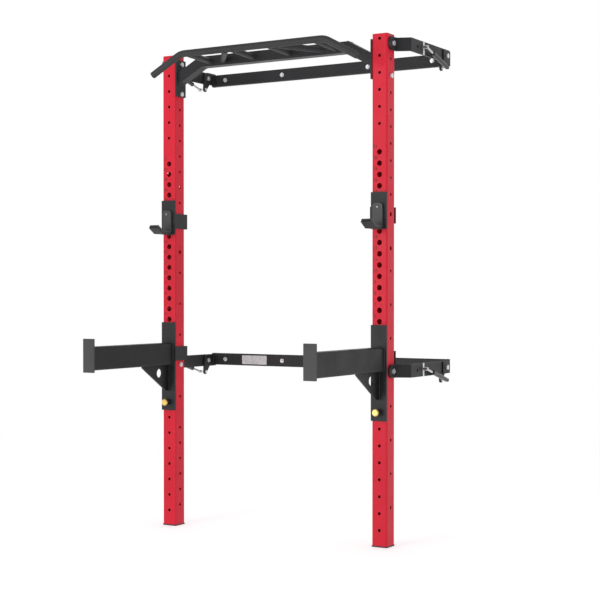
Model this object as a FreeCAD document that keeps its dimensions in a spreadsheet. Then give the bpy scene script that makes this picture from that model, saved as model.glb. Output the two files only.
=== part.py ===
# Wall-mounted folding squat rack.  Units are millimetres.
# +Z is up, -Y is the user's side, +Y is the wall, +X is to the right of a user facing the wall.
# The origin is the middle of the wall bolt pattern, on the wall's surface.
import FreeCAD, Part
import math
import os
import Sketcher

DOC = FreeCAD.newDocument("FoldingRack")
SHEET = DOC.addObject("Spreadsheet::Sheet", "dims")

DIMENSIONS = [
    # uprights
    ("upright_width", 75.0, "outside width of the square upright tube"),
    ("upright_wall", 3.0, "wall of the upright tube"),
    ("upright_corner", 7.5, "outside corner radius of the upright tube"),
    ("upright_top", 2272.0, "height of the uprights above the floor"),
    ("upright_spacing", 1145.0, "distance between the upright centre lines"),
    ("foot_flange", 6.0, "thickness of the plastic foot under an upright"),
    ("plug_length", 24.0, "length of a plastic plug inside a tube"),
    ("plug_gap", 0.2, "gap between a plug and the tube wall"),
    ("stem_gap", 2.2, "gap between a foot's stem and the tube wall"),
    ("top_recess", 1.0, "how far the top plug sits below the tube end"),
    # holes
    ("small_hole", 7.0, "radius of the small holes"),
    ("large_hole", 12.5, "radius of the numbered holes"),
    ("lock_hole", 10.0, "radius of the two accessory holes in the sides"),
    ("small_pitch", 75.0, "pitch of the small holes"),
    ("large_pitch", 50.0, "pitch of the numbered holes"),
    ("side_pitch", 150.0, "pitch of the lower side holes"),
    ("low_front_start", 75.0, "height of the lowest front hole"),
    ("numbered_start", 750.0, "height of numbered hole 1"),
    ("high_front_start", 1875.0, "height of the first small hole above the numbers"),
    ("high_side_start", 1562.5, "height of the first upper side hole"),
    ("lock_start", 1325.0, "height of the lower accessory hole"),
    ("low_side_start", 175.0, "height of the lowest side hole"),
    ("middle_side_start", 925.0, "height of the first side hole above the lower pivot"),
    ("inner_start", 100.0, "height of the lowest hole in the inner wall only"),
    # folding linkage
    ("upper_pivot", 2230.0, "height of the upper arm pivots"),
    ("lower_pivot", 780.0, "height of the lower arm pivots"),
    ("pivot_standoff", 72.0, "wall pivot to the wall surface"),
    ("arm_length", 423.5, "pivot to pivot length of a swing arm"),
    ("arm_thick", 8.0, "thickness of an arm"),
    ("arm_height", 60.0, "height of an arm"),
    ("arm_gap", 2.0, "gap between an arm and the part it turns on"),
    ("arm_jog", 60.0, "sideways step of an arm"),
    ("jog_start", 36.0, "upright pivot to the start of the step, along the arm"),
    ("jog_run", 26.0, "length of the step along the arm"),
    ("arm_hole_at", 126.0, "upright pivot to the spare hole in an arm"),
    ("pivot_bolt", 6.9, "radius of the pivot bolts"),
    ("running_gap", 0.05, "radial clearance of a turning or sliding fit"),
    ("hex_round", 12.0, "corner radius of the pivot hex heads"),
    ("hex_thick", 8.0, "thickness of the pivot hex heads"),
    ("washer_round", 14.0, "radius of the spacer washers"),
    ("free_gap", 0.5, "gap between moving faces"),
    # wall stringers
    ("stringer_height", 60.0, "height of a stringer"),
    ("stringer_depth", 24.0, "depth of a stringer"),
    ("stringer_wall", 3.0, "wall of a stringer"),
    ("upper_stringer", 2222.5, "height of the upper stringer's middle"),
    ("lower_stringer", 785.0, "height of the lower stringer's middle"),
    ("outer_bolts", 587.0, "middle of a stringer to its outer wall bolts"),
    ("inner_bolts", 243.5, "middle of a stringer to its inner wall bolts"),
    ("wall_bolt", 5.0, "radius of a wall bolt"),
    ("wall_bolt_neck", 5.25, "radius of a wall bolt's neck inside the stringer"),
    ("wall_bolt_hole", 5.5, "radius of a wall bolt hole"),
    ("wall_bolt_reach", 60.0, "length of a wall bolt behind the wall surface"),
    ("wall_head_round", 9.0, "corner radius of a wall bolt head"),
    ("wall_head_thick", 6.0, "thickness of a wall bolt head"),
    ("wall_washer", 11.0, "radius of a wall bolt washer"),
    ("washer_thick", 1.5, "thickness of a washer"),
    ("ear_thick", 8.0, "thickness of an ear plate"),
    ("ear_round", 30.0, "radius of an ear plate about its pivot"),
    ("lug_round", 13.0, "radius of the spring lug of an ear plate"),
    ("keeper_gap", 1.0, "gap between an arm and its keeper plate"),
    ("keeper_thick", 4.5, "thickness of a keeper plate"),
    ("keeper_ahead", 34.0, "wall pivot to a keeper plate's front edge"),
    ("keeper_behind", 30.0, "wall pivot to a keeper plate's rear edge"),
    ("keeper_tall", 56.0, "height of a keeper plate"),
    ("plate_long", 148.0, "length of the blank data plate"),
    ("plate_tall", 45.0, "height of the blank data plate"),
    ("plate_thick", 1.5, "thickness of the blank data plate"),
    ("plate_middle", 409.0, "middle of the stringer to the middle of the data plate"),
    # gas springs
    ("lug_back", 21.0, "wall pivot to the spring's wall stud, towards the user"),
    ("lug_down", 58.0, "wall pivot to the spring's wall stud, downwards"),
    ("stud_out", 240.0, "wall pivot to the spring's arm stud, towards the user"),
    ("stud_up", 4.0, "wall pivot to the spring's arm stud, upwards"),
    ("spring_plane", 697.0, "middle of the rack to a gas spring's axis"),
    ("barrel_round", 10.0, "radius of a gas spring's barrel"),
    ("barrel_length", 145.0, "length of a gas spring's barrel"),
    ("barrel_start", 13.0, "stud to the start of the barrel"),
    ("ring_round", 10.5, "radius of the barrel's end ring"),
    ("ring_length", 10.0, "length of the barrel's end ring"),
    ("rod_round", 5.0, "radius of a gas spring's rod"),
    ("rod_start", 55.0, "stud on the barrel's side to the inner end of the rod"),
    ("socket_round", 8.0, "radius of a ball socket"),
    ("socket_half", 7.0, "half length of a ball socket"),
    ("stud_round", 4.0, "radius of a stud"),
    ("stud_plate_wide", 14.0, "width of the zinc stud plate on an arm"),
    ("stud_plate_thick", 3.0, "thickness of the zinc stud plate"),
    ("stud_clear", 0.3, "gap between the travelling stud and its plate"),
    # pull-up bar
    ("mount_plate_thick", 8.0, "thickness of the pull-up bar's end plates"),
    ("mount_plate_low", 2074.5, "bottom of the end plates"),
    ("mount_plate_high", 2250.5, "top of the end plates"),
    ("lower_bolt", 2087.5, "height of the lower end plate bolts"),
    ("beam_size", 50.0, "outside width of the pull-up beam tube"),
    ("beam_wall", 3.0, "wall of the pull-up beam tube"),
    ("beam_high", 2255.0, "top of the pull-up beam"),
    ("beam_half", 405.0, "half length of the beam's top edge"),
    ("brace_slope", 0.54, "fall of a brace for each unit of run"),
    ("bar_ahead", 200.0, "upright centre to the front bar, towards the user"),
    ("bar_high", 2241.0, "height of the front bar's centre line"),
    ("bar_round", 16.0, "radius of the front bar"),
    ("bar_wall", 3.0, "wall of the front bar"),
    ("bar_bend", 386.0, "middle to the bend of the front bar"),
    ("bar_tip", 544.0, "middle to the tip of the front bar"),
    ("bend_round", 90.0, "bend radius of the front bar"),
    ("cap_length", 4.0, "thickness of a bar end cap"),
    ("grip_round", 14.0, "radius of a neutral grip"),
    ("grip_high", 2236.0, "height of the neutral grips at the front bar"),
    ("grip_fall", 8.0, "fall of a neutral grip from the bar to the beam"),
    ("grip_inner", 98.0, "middle to an inner neutral grip"),
    ("grip_angled_front", 137.0, "middle to an angled grip at the front bar"),
    ("grip_angled_back", 267.0, "middle to an angled grip at the beam"),
    ("grip_outer", 342.0, "middle to an outer neutral grip"),
    # bar holders
    ("fit_gap", 0.5, "gap between an attachment and the upright"),
    ("carrier_wide", 77.0, "width of an attachment's front plate"),
    ("carrier_thick", 8.0, "thickness of an attachment's front plate"),
    ("strap_thick", 5.0, "thickness of an attachment's side strap"),
    ("lip_gap", 10.5, "gap between an attachment's rear lip and the upright"),
    ("lip_reach", 79.0, "width of an attachment's rear lip across the upright"),
    ("peg_round", 12.2, "radius of an attachment's peg"),
    ("peg_length", 9.0, "length of an attachment's peg behind its plate"),
    ("holder_low", 1409.0, "bottom of a bar holder"),
    ("holder_tall", 164.0, "height of a bar holder's plate"),
    ("holder_peg", 1500.0, "height of a bar holder's peg"),
    ("holder_strap_low", 1436.0, "bottom of a bar holder's strap"),
    ("holder_strap_tall", 72.0, "height of a bar holder's strap"),
    ("cradle_wide", 50.0, "width of a bar holder's cradle"),
    ("cradle_thick", 9.0, "thickness of the cradle's steel"),
    ("cradle_flat", 76.0, "front plate to the bend of the cradle"),
    ("cradle_reach", 39.0, "bend of the cradle to its tip"),
    ("cradle_rise", 25.0, "rise of the cradle's tip"),
    ("liner_thick", 12.0, "thickness of the upright part of the liner"),
    ("liner_floor", 8.0, "thickness of the liner in the cradle"),
    ("liner_high", 106.0, "height of the liner above the cradle"),
    ("screw_round", 5.0, "radius of a liner screw head"),
    # spotter arms
    ("spotter_low", 560.0, "bottom of a spotter arm's front plate"),
    ("spotter_tall", 425.0, "height of a spotter arm's front plate"),
    ("spotter_peg", 950.0, "height of a spotter arm's peg"),
    ("spotter_strap_low", 800.0, "bottom of a spotter arm's strap"),
    ("spotter_strap_tall", 68.0, "height of a spotter arm's strap"),
    ("spotter_tube_low", 780.0, "bottom of a spotter arm's tube"),
    ("spotter_tube_tall", 106.0, "height of a spotter arm's tube"),
    ("spotter_tube_wide", 56.0, "width of a spotter arm's tube"),
    ("spotter_reach", 602.0, "upright front to the end of a spotter arm's tube"),
    ("stop_wide", 60.0, "width of a spotter arm's end stop"),
    ("stop_tall", 152.0, "height of a spotter arm's end stop"),
    ("stop_low", 770.0, "bottom of a spotter arm's end stop"),
    ("gusset_long", 208.0, "length of a gusset under a spotter arm"),
    ("gusset_tall", 125.0, "height of a gusset"),
    ("gusset_foot", 22.0, "width of a gusset's lower end"),
    ("gusset_toe", 8.0, "height of a gusset's front edge"),
    ("gusset_hole", 21.0, "radius of a gusset's hole"),
    ("gusset_hole_out", 76.0, "front plate to the centre of a gusset's hole"),
    ("gusset_hole_down", 38.0, "tube to the centre of a gusset's hole"),
    ("pin_high", 600.0, "height of a pull pin"),
    ("pin_round", 6.8, "radius of a pull pin"),
    ("pin_depth", 12.0, "length of a pull pin inside the upright"),
    ("nut_round", 14.0, "corner radius of a pull pin's hex housing"),
    ("nut_length", 12.0, "length of a pull pin's hex housing"),
    ("knob_round", 16.0, "radius of a pull pin's knob"),
    ("knob_length", 20.0, "length of a pull pin's knob"),
    ("knob_neck", 9.0, "radius of a pull pin's neck"),
    ("knob_gap", 3.0, "gap between the housing and the knob"),
]


class Size:
    """A length with its value and the spreadsheet formula that drives it."""

    def __init__(self, value, formula):
        self.value = float(value)
        self.formula = formula

    def __add__(self, other):
        other = as_size(other)
        return Size(self.value + other.value, "(%s + %s)" % (self.formula, other.formula))

    def __sub__(self, other):
        other = as_size(other)
        return Size(self.value - other.value, "(%s - %s)" % (self.formula, other.formula))

    def __mul__(self, other):
        other = as_size(other)
        return Size(self.value * other.value, "(%s * %s)" % (self.formula, other.formula))

    def __truediv__(self, other):
        other = as_size(other)
        return Size(self.value / other.value, "(%s / %s)" % (self.formula, other.formula))

    def __radd__(self, other):
        return as_size(other) + self

    def __rsub__(self, other):
        return as_size(other) - self

    def __rmul__(self, other):
        return as_size(other) * self

    def __neg__(self):
        return self * -1


def as_size(number):
    if isinstance(number, Size):
        return number
    return Size(number, "(%r)" % float(number))


def root(size):
    """Square root of a size."""
    return Size(math.sqrt(size.value), "sqrt(%s)" % size.formula)


class Dimensions:
    """The driving dimensions, one attribute for each spreadsheet alias."""


def fill_sheet():
    dims = Dimensions()
    for row, (alias, value, note) in enumerate(DIMENSIONS, start=1):
        SHEET.set("A%d" % row, note)
        SHEET.set("B%d" % row, str(value))
        SHEET.setAlias("B%d" % row, alias)
        setattr(dims, alias, Size(value, "dims." + alias))
    DOC.recompute()
    return dims


D = fill_sheet()
FLOOR = (D.upper_stringer + D.lower_stringer) / -2      # the floor, below the origin
WALL_PIVOT_Y = -D.pivot_standoff
UPRIGHT_Y = WALL_PIVOT_Y - D.arm_length                 # centre line of the uprights
FRONT_Y = UPRIGHT_Y - D.upright_width / 2
BACK_Y = UPRIGHT_Y + D.upright_width / 2
OUTER_X = (D.upright_spacing + D.upright_width) / 2     # outer face of an upright
INNER_X = (D.upright_spacing - D.upright_width) / 2     # inner face of an upright
ARM_X = OUTER_X + D.arm_gap                             # inner face of an arm at the upright
ARM_WALL_X = ARM_X + D.arm_jog                          # inner face of an arm at the wall
EAR_X = ARM_WALL_X - D.arm_gap - D.ear_thick            # inner face of an ear plate
KEEPER_X = ARM_WALL_X + D.arm_thick + D.keeper_gap      # inner face of a keeper plate
CARRIER_Y = FRONT_Y - D.fit_gap                         # rear face of an attachment's plate
CARRIER_FRONT_Y = CARRIER_Y - D.carrier_thick
BAR_Y = UPRIGHT_Y - D.bar_ahead
SLANT = root(D.brace_slope * D.brace_slope + 1)         # length of a brace for each unit of run
HALF_TAN = (SLANT - 1) / D.brace_slope                  # tangent of half the bend angle
SIDES = (("left", -1), ("right", 1))
LEVELS = (("upper", D.upper_pivot), ("lower", D.lower_pivot))
UNIT = {"X": FreeCAD.Vector(1, 0, 0), "Y": FreeCAD.Vector(0, 1, 0), "Z": FreeCAD.Vector(0, 0, 1)}


# ---------------------------------------------------------------- helpers

def bind(item, prop, size):
    item.setExpression(prop, as_size(size).formula)


def place(item, spot, rotation=None):
    """Put an object at a spot given as three sizes."""
    values = [as_size(part).value for part in spot]
    turn = rotation or FreeCAD.Rotation()
    item.Placement = FreeCAD.Placement(FreeCAD.Vector(*values), turn)
    for axis, part in zip("xyz", spot):
        bind(item, "Placement.Base." + axis, part)


def box(name, low, size):
    """Block from its lowest corner."""
    item = DOC.addObject("Part::Box", name)
    for prop, part in zip(("Length", "Width", "Height"), size):
        bind(item, prop, part)
    place(item, low)
    return item


def side_box(name, side, near, far, low, size):
    """Block between two distances from the middle, on one side of the rack."""
    start = near if side > 0 else -far
    return box(name, (start, low[0], low[1]), (far - near, size[0], size[1]))


def round_bar(name, start, axis, radius, length):
    """Cylinder from a start point along +X, +Y or +Z."""
    item = DOC.addObject("Part::Cylinder", name)
    bind(item, "Radius", radius)
    bind(item, "Height", length)
    place(item, start, FreeCAD.Rotation(UNIT["Z"], UNIT[axis]))
    return item


def hex_bar(name, start, axis, corner, length):
    item = DOC.addObject("Part::Prism", name)
    item.Polygon = 6
    bind(item, "Circumradius", corner)
    bind(item, "Height", length)
    place(item, start, FreeCAD.Rotation(UNIT["Z"], UNIT[axis]))
    return item


def across(maker, name, side, near, far, y, z, radius):
    """Bar along X between two distances from the middle, on one side of the rack."""
    start = near if side > 0 else -far
    return maker(name, (start, y, z), "X", radius, far - near)


def fuse(name, items):
    """Join touching pieces; a single piece is returned as it is."""
    if len(items) == 1:
        return items[0]
    item = DOC.addObject("Part::MultiFuse", name)
    item.Shapes = items
    item.Refine = True
    return item


def cut(name, base, tool):
    item = DOC.addObject("Part::Cut", name)
    item.Base = base
    item.Tool = tool
    item.Refine = True
    return item


def group(name, items):
    """Separate solids that share one node."""
    item = DOC.addObject("Part::Compound", name)
    item.Links = items
    return item


def new_body(name):
    body = DOC.addObject("PartDesign::Body", name)
    body.Label = name
    return body


def origin_feature(body, role):
    return [item for item in body.Origin.OriginFeatures if item.Role == role][0]


def new_sketch(body, name, role):
    sketch = body.newObject("Sketcher::SketchObject", name)
    sketch.AttachmentSupport = [(origin_feature(body, role), "")]
    sketch.MapMode = "FlatFace"
    return sketch


def pin_point(sketch, tag, geometry, end, spot):
    """Tie one end of a sketch line to driven coordinates."""
    for kind, axis, part in (("DistanceX", "x", spot[0]), ("DistanceY", "y", spot[1])):
        part = as_size(part)
        index = sketch.addConstraint(Sketcher.Constraint(kind, -1, 1, geometry, end, part.value))
        sketch.renameConstraint(index, tag + axis)
        bind(sketch, "Constraints." + tag + axis, part)


def add_polygon(sketch, tag, spots):
    """Closed outline through driven points."""
    first = sketch.GeometryCount
    count = len(spots)
    values = [FreeCAD.Vector(as_size(a).value, as_size(b).value, 0) for a, b in spots]
    for i in range(count):
        sketch.addGeometry(Part.LineSegment(values[i], values[(i + 1) % count]), False)
    for i in range(count):
        following = first + (i + 1) % count
        sketch.addConstraint(Sketcher.Constraint("Coincident", first + i, 2, following, 1))
    for i, spot in enumerate(spots):
        pin_point(sketch, "%s%d" % (tag, i), first + i, 1, spot)


def add_circle(sketch, tag, spot, radius):
    radius = as_size(radius)
    centre = FreeCAD.Vector(as_size(spot[0]).value, as_size(spot[1]).value, 0)
    index = sketch.addGeometry(Part.Circle(centre, UNIT["Z"], radius.value), False)
    pin_point(sketch, tag, index, 3, spot)
    limit = sketch.addConstraint(Sketcher.Constraint("Radius", index, radius.value))
    sketch.renameConstraint(limit, tag + "r")
    bind(sketch, "Constraints." + tag + "r", radius)


def extrude(body, kind, name, sketch, length):
    """Pad or Pocket, half to each side of the sketch."""
    item = body.newObject("PartDesign::" + kind, name)
    item.Profile = sketch
    item.SideType = "Symmetric"
    bind(item, "Length", length)
    body.Tip = item
    return item


def rectangle(wide, tall):
    """Corners of a rectangle centred on a sketch's origin."""
    x = wide / 2
    y = tall / 2
    return [(-x, -y), (x, -y), (x, y), (-x, y)]


def edges_where(feature, test):
    """Names of the straight edges that pass a test on their two ends."""
    names = []
    for number, edge in enumerate(feature.Shape.Edges, start=1):
        if len(edge.Vertexes) == 2 and test(edge.Vertexes[0].Point, edge.Vertexes[1].Point):
            names.append("Edge%d" % number)
    return names


def fillet(body, name, feature, test, radius):
    DOC.recompute()
    item = body.newObject("PartDesign::Fillet", name)
    item.Base = (feature, edges_where(feature, test))
    bind(item, "Radius", radius)
    body.Tip = item
    return item


def rounded_tube(name, role, wide, tall, length, wall, corner):
    """Square or flat tube along the normal of an origin plane, centred on the origin."""
    body = new_body(name)
    sketch = new_sketch(body, name + "_section", role)
    add_polygon(sketch, "o", rectangle(wide, tall))
    add_polygon(sketch, "i", rectangle(wide - wall * 2, tall - wall * 2))
    tube = extrude(body, "Pad", name + "_pad", sketch, length)
    axis = {"XY_Plane": 2, "XZ_Plane": 1, "YZ_Plane": 0}[role]
    first = {"XY_Plane": 0, "XZ_Plane": 0, "YZ_Plane": 1}[role]

    def runs_along(a, b):
        return abs(abs(a[axis] - b[axis]) - as_size(length).value) < 0.01

    def is_outer(a, b):
        return runs_along(a, b) and abs(abs(a[first]) - as_size(wide).value / 2) < 0.01

    def is_inner(a, b):
        inside = as_size(wide).value / 2 - as_size(wall).value
        return runs_along(a, b) and abs(abs(a[first]) - inside) < 0.01

    outer = fillet(body, name + "_outer", tube, is_outer, corner)
    inner = fillet(body, name + "_inner", outer, is_inner, corner - wall)
    return body, inner


def hole_row(body, name, role, start, radius, depth, count, pitch, reverse=None):
    """Row of round holes up the body; reverse picks one wall, None goes through both."""
    sketch = new_sketch(body, name + "_sketch", role)
    add_circle(sketch, "c", (0, start), radius)
    hole = body.newObject("PartDesign::Pocket", name)
    hole.Profile = sketch
    if reverse is None:
        hole.SideType = "Symmetric"
    else:
        hole.Reversed = reverse
    bind(hole, "Length", depth)
    body.Tip = hole
    DOC.recompute()
    row = body.newObject("PartDesign::LinearPattern", name + "_row")
    row.Originals = [hole]
    row.Direction = (origin_feature(body, "Z_Axis"), [""])
    bind(row, "Length", pitch * (count - 1))
    row.Occurrences = count
    body.Tip = row
    DOC.recompute()
    return row


# ---------------------------------------------------------------- uprights

def make_upright(word, side):
    """Drilled square tube.  Its sketches are laid out from its own middle height."""
    name = "upright_" + word
    length = D.upright_top - D.foot_flange
    body, blank = rounded_tube(name, "XY_Plane", D.upright_width, D.upright_width, length,
                               D.upright_wall, D.upright_corner)
    middle = D.foot_flange + length / 2
    through = D.upright_width + 10
    DOC.recompute()
    solid_volume = blank.Shape.Volume
    rows = [
        ("front_low", "XZ_Plane", D.low_front_start, D.small_hole, 9, D.small_pitch),
        ("numbered", "XZ_Plane", D.numbered_start, D.large_hole, 21, D.large_pitch),
        ("front_high", "XZ_Plane", D.high_front_start, D.small_hole, 6, D.small_pitch),
        ("side_low", "YZ_Plane", D.low_side_start, D.small_hole, 4, D.side_pitch),
        ("side_pivot", "YZ_Plane", D.lower_pivot, D.small_hole, 2, D.upper_pivot - D.lower_pivot),
        ("side_middle", "YZ_Plane", D.middle_side_start, D.small_hole, 3, D.side_pitch),
        ("side_lock", "YZ_Plane", D.lock_start, D.lock_hole, 2, D.side_pitch),
        ("side_high", "YZ_Plane", D.high_side_start, D.small_hole, 9, D.small_pitch),
    ]
    for tag, role, start, radius, count, pitch in rows:
        hole_row(body, "%s_%s" % (tag, word), role, start - middle, radius, through, count, pitch)
    before = body.Shape.Volume
    inner_wall = hole_row(body, "inner_" + word, "YZ_Plane", D.inner_start - middle, D.small_hole,
                          through / 2, 3, D.side_pitch, reverse=(side < 0))
    assert inner_wall.Shape.Volume < before < solid_volume
    place(body, (D.upright_spacing / 2 * side, UPRIGHT_Y, FLOOR + middle))
    return body


def make_foot_caps():
    caps = []
    for word, side in SIDES:
        x = D.upright_spacing / 2 * side
        half = D.upright_width / 2
        plug = half - D.upright_wall - D.stem_gap
        flange = box("foot_flange_" + word, (x - half, UPRIGHT_Y - half, FLOOR),
                     (D.upright_width, D.upright_width, D.foot_flange))
        stem = box("foot_stem_" + word, (x - plug, UPRIGHT_Y - plug, FLOOR + D.foot_flange / 2),
                   (plug * 2, plug * 2, D.foot_flange / 2 + D.plug_length))
        caps.append(fuse("foot_cap_" + word, [flange, stem]))
    return group("foot_caps", caps)


def make_top_caps():
    """Plugs set just below the open tube ends, clear of the bolts that cross the tube."""
    caps = []
    for word, side in SIDES:
        x = D.upright_spacing / 2 * side
        plug = D.upright_width / 2 - D.upright_wall - D.plug_gap
        bevel = D.upright_corner - D.upright_wall
        height = D.plug_length / 3
        low = FLOOR + D.upright_top - D.top_recess - height
        wide = box("top_wide_" + word, (x - plug, UPRIGHT_Y - plug + bevel, low),
                   (plug * 2, (plug - bevel) * 2, height))
        deep = box("top_deep_" + word, (x - plug + bevel, UPRIGHT_Y - plug, low),
                   ((plug - bevel) * 2, plug * 2, height))
        caps.append(fuse("top_cap_" + word, [wide, deep]))
    return group("top_caps", caps)


# ---------------------------------------------------------------- pull-up bar

def make_beam():
    body = new_body("pullup_beam")
    sketch = new_sketch(body, "beam_outline", "XZ_Plane")
    half = D.beam_size / 2
    low_half = D.beam_half - D.beam_size * HALF_TAN
    add_polygon(sketch, "o", [(-D.beam_half, half), (-low_half, -half), (low_half, -half),
                              (D.beam_half, half)])
    blank = extrude(body, "Pad", "beam_pad", sketch, D.beam_size)
    hollow = new_sketch(body, "beam_hollow", "XZ_Plane")
    add_polygon(hollow, "i", rectangle(D.beam_half * 2.2, D.beam_size - D.beam_wall * 2))
    DOC.recompute()
    bore = extrude(body, "Pocket", "beam_bore", hollow, D.beam_size - D.beam_wall * 2)
    DOC.recompute()
    assert bore.Shape.Volume < blank.Shape.Volume
    place(body, (0, UPRIGHT_Y, FLOOR + D.beam_high - half))
    return body


def make_brace(word, side):
    """Sloping tube from the beam's mitre down to the end plate."""
    body = new_body("pullup_brace_" + word)
    half = D.beam_size / 2
    low_half = D.beam_half - D.beam_size * HALF_TAN
    end = INNER_X - D.mount_plate_thick
    sketch = new_sketch(body, "brace_outline_" + word, "XZ_Plane")
    add_polygon(sketch, "o", [
        (D.beam_half * side, half),
        (end * side, half - (end - D.beam_half) * D.brace_slope),
        (end * side, -half - (end - low_half) * D.brace_slope),
        (low_half * side, -half)])
    blank = extrude(body, "Pad", "brace_pad_" + word, sketch, D.beam_size)
    wall = D.beam_wall * SLANT
    start = low_half - 40
    far = end + 20
    hollow = new_sketch(body, "brace_hollow_" + word, "XZ_Plane")
    add_polygon(hollow, "i", [
        (start * side, half - wall - (start - D.beam_half) * D.brace_slope),
        (far * side, half - wall - (far - D.beam_half) * D.brace_slope),
        (far * side, -half + wall - (far - low_half) * D.brace_slope),
        (start * side, -half + wall - (start - low_half) * D.brace_slope)])
    DOC.recompute()
    bore = extrude(body, "Pocket", "brace_bore_" + word, hollow, D.beam_size - D.beam_wall * 2)
    DOC.recompute()
    assert bore.Shape.Volume < blank.Shape.Volume
    place(body, (0, UPRIGHT_Y, FLOOR + D.beam_high - half))
    return body


def make_mount_plates():
    plates = []
    for word, side in SIDES:
        blank = side_box("mount_blank_" + word, side, INNER_X - D.mount_plate_thick, INNER_X,
                         (FRONT_Y, FLOOR + D.mount_plate_low),
                         (D.upright_width, D.mount_plate_high - D.mount_plate_low))
        holes = []
        for height in (D.upper_pivot, D.lower_bolt):
            holes.append(across(round_bar, "mount_hole_" + word, side,
                                INNER_X - D.mount_plate_thick - 1, INNER_X + 1,
                                UPRIGHT_Y, FLOOR + height, D.small_hole))
        plates.append(cut("mount_plate_" + word, blank, fuse("mount_holes_" + word, holes)))
    return group("pullup_end_plates", plates)


def make_front_bar():
    """Bent tube: half is swept from the middle plane and then mirrored."""
    body = new_body("pullup_front_bar")
    tangent = D.bend_round * HALF_TAN
    flat = D.bar_bend - tangent
    drop = (D.bar_tip - D.bar_bend) * D.brace_slope
    angle = math.atan(D.brace_slope.value)
    path = new_sketch(body, "bar_path", "XZ_Plane")
    centre = FreeCAD.Vector(flat.value, -D.bend_round.value, 0)
    bend_end = FreeCAD.Vector(flat.value + D.bend_round.value * math.sin(angle),
                              D.bend_round.value * (math.cos(angle) - 1), 0)
    tip = FreeCAD.Vector(D.bar_tip.value, -drop.value, 0)
    path.addGeometry(Part.LineSegment(FreeCAD.Vector(0, 0, 0), FreeCAD.Vector(flat.value, 0, 0)))
    circle = Part.Circle(centre, UNIT["Z"], D.bend_round.value)
    path.addGeometry(Part.ArcOfCircle(circle, math.pi / 2 - angle, math.pi / 2))
    path.addGeometry(Part.LineSegment(bend_end, tip))
    path.addConstraint(Sketcher.Constraint("Coincident", 0, 1, -1, 1))
    path.addConstraint(Sketcher.Constraint("Horizontal", 0))
    path.addConstraint(Sketcher.Constraint("Tangent", 0, 2, 1, 2))
    path.addConstraint(Sketcher.Constraint("Tangent", 1, 1, 2, 1))
    limit = path.addConstraint(Sketcher.Constraint("Radius", 1, D.bend_round.value))
    path.renameConstraint(limit, "bend")
    bind(path, "Constraints.bend", D.bend_round)
    pin_point(path, "tip", 2, 2, (D.bar_tip, -drop))
    section = new_sketch(body, "bar_section", "YZ_Plane")
    add_circle(section, "o", (0, 0), D.bar_round)
    add_circle(section, "i", (0, 0), D.bar_round - D.bar_wall)
    pipe = body.newObject("PartDesign::AdditivePipe", "bar_half")
    pipe.Profile = section
    pipe.Spine = path
    body.Tip = pipe
    DOC.recompute()
    mirror = body.newObject("PartDesign::Mirrored", "bar_whole")
    mirror.Originals = [pipe]
    mirror.MirrorPlane = (origin_feature(body, "YZ_Plane"), [""])
    body.Tip = mirror
    DOC.recompute()
    assert mirror.Shape.Volume > pipe.Shape.Volume * 1.9
    place(body, (0, BAR_Y, FLOOR + D.bar_high))
    return body


def make_bar_caps():
    """Domed-edge discs on the two tips of the front bar, square to the bar."""
    caps = []
    drop = (D.bar_tip - D.bar_bend) * D.brace_slope
    for word, side in SIDES:
        cap = DOC.addObject("Part::Cylinder", "bar_cap_" + word)
        bind(cap, "Radius", D.bar_round)
        bind(cap, "Height", D.cap_length)
        along = FreeCAD.Vector(side, 0, -D.brace_slope.value)
        place(cap, (D.bar_tip * side, BAR_Y, FLOOR + D.bar_high - drop),
              FreeCAD.Rotation(UNIT["Z"], along))
        caps.append(cap)
    return group("pullup_bar_caps", caps)


def slanted_bar(name, start, reach, radius, extra):
    """Cylinder from a start point along a reach of three sizes, and a little further."""
    item = DOC.addObject("Part::Cylinder", name)
    bind(item, "Radius", radius)
    bind(item, "Height", root(reach[0] * reach[0] + reach[1] * reach[1] + reach[2] * reach[2]) + extra)
    along = FreeCAD.Vector(*[part.value for part in reach])
    place(item, start, FreeCAD.Rotation(UNIT["Z"], along))
    return item


def make_neutral_grips():
    """Short tubes from the front bar back to the beam, coped round the bar."""
    grips = []
    beam_front = UPRIGHT_Y - D.beam_size / 2
    layout = (("outer", D.grip_outer, D.grip_outer), ("angled", D.grip_angled_front, D.grip_angled_back),
              ("inner", D.grip_inner, D.grip_inner))
    for kind, front_x, back_x in layout:
        for word, side in SIDES:
            tag = "%s_%s" % (kind, word)
            start = (front_x * side, BAR_Y, FLOOR + D.grip_high)
            reach = ((back_x - front_x) * side, beam_front - BAR_Y, -D.grip_fall)
            outer = slanted_bar("grip_outer_" + tag, start, reach, D.grip_round, D.grip_round)
            tools = [
                slanted_bar("grip_bore_" + tag, start, reach, D.grip_round - D.bar_wall,
                            D.grip_round * 2),
                round_bar("grip_cope_" + tag, (start[0] - D.beam_size, BAR_Y, FLOOR + D.bar_high),
                          "X", D.bar_round + D.running_gap, D.beam_size * 2),
                box("grip_stop_" + tag, (reach[0] + start[0] - D.beam_size, beam_front,
                                         FLOOR + D.beam_high - D.beam_size * 2),
                    (D.beam_size * 2, D.beam_size, D.beam_size * 3)),
            ]
            grips.append(cut("grip_" + tag, outer, fuse("grip_tools_" + tag, tools)))
    return group("pullup_neutral_grips", grips)


# ---------------------------------------------------------------- bolts through the uprights

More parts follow.
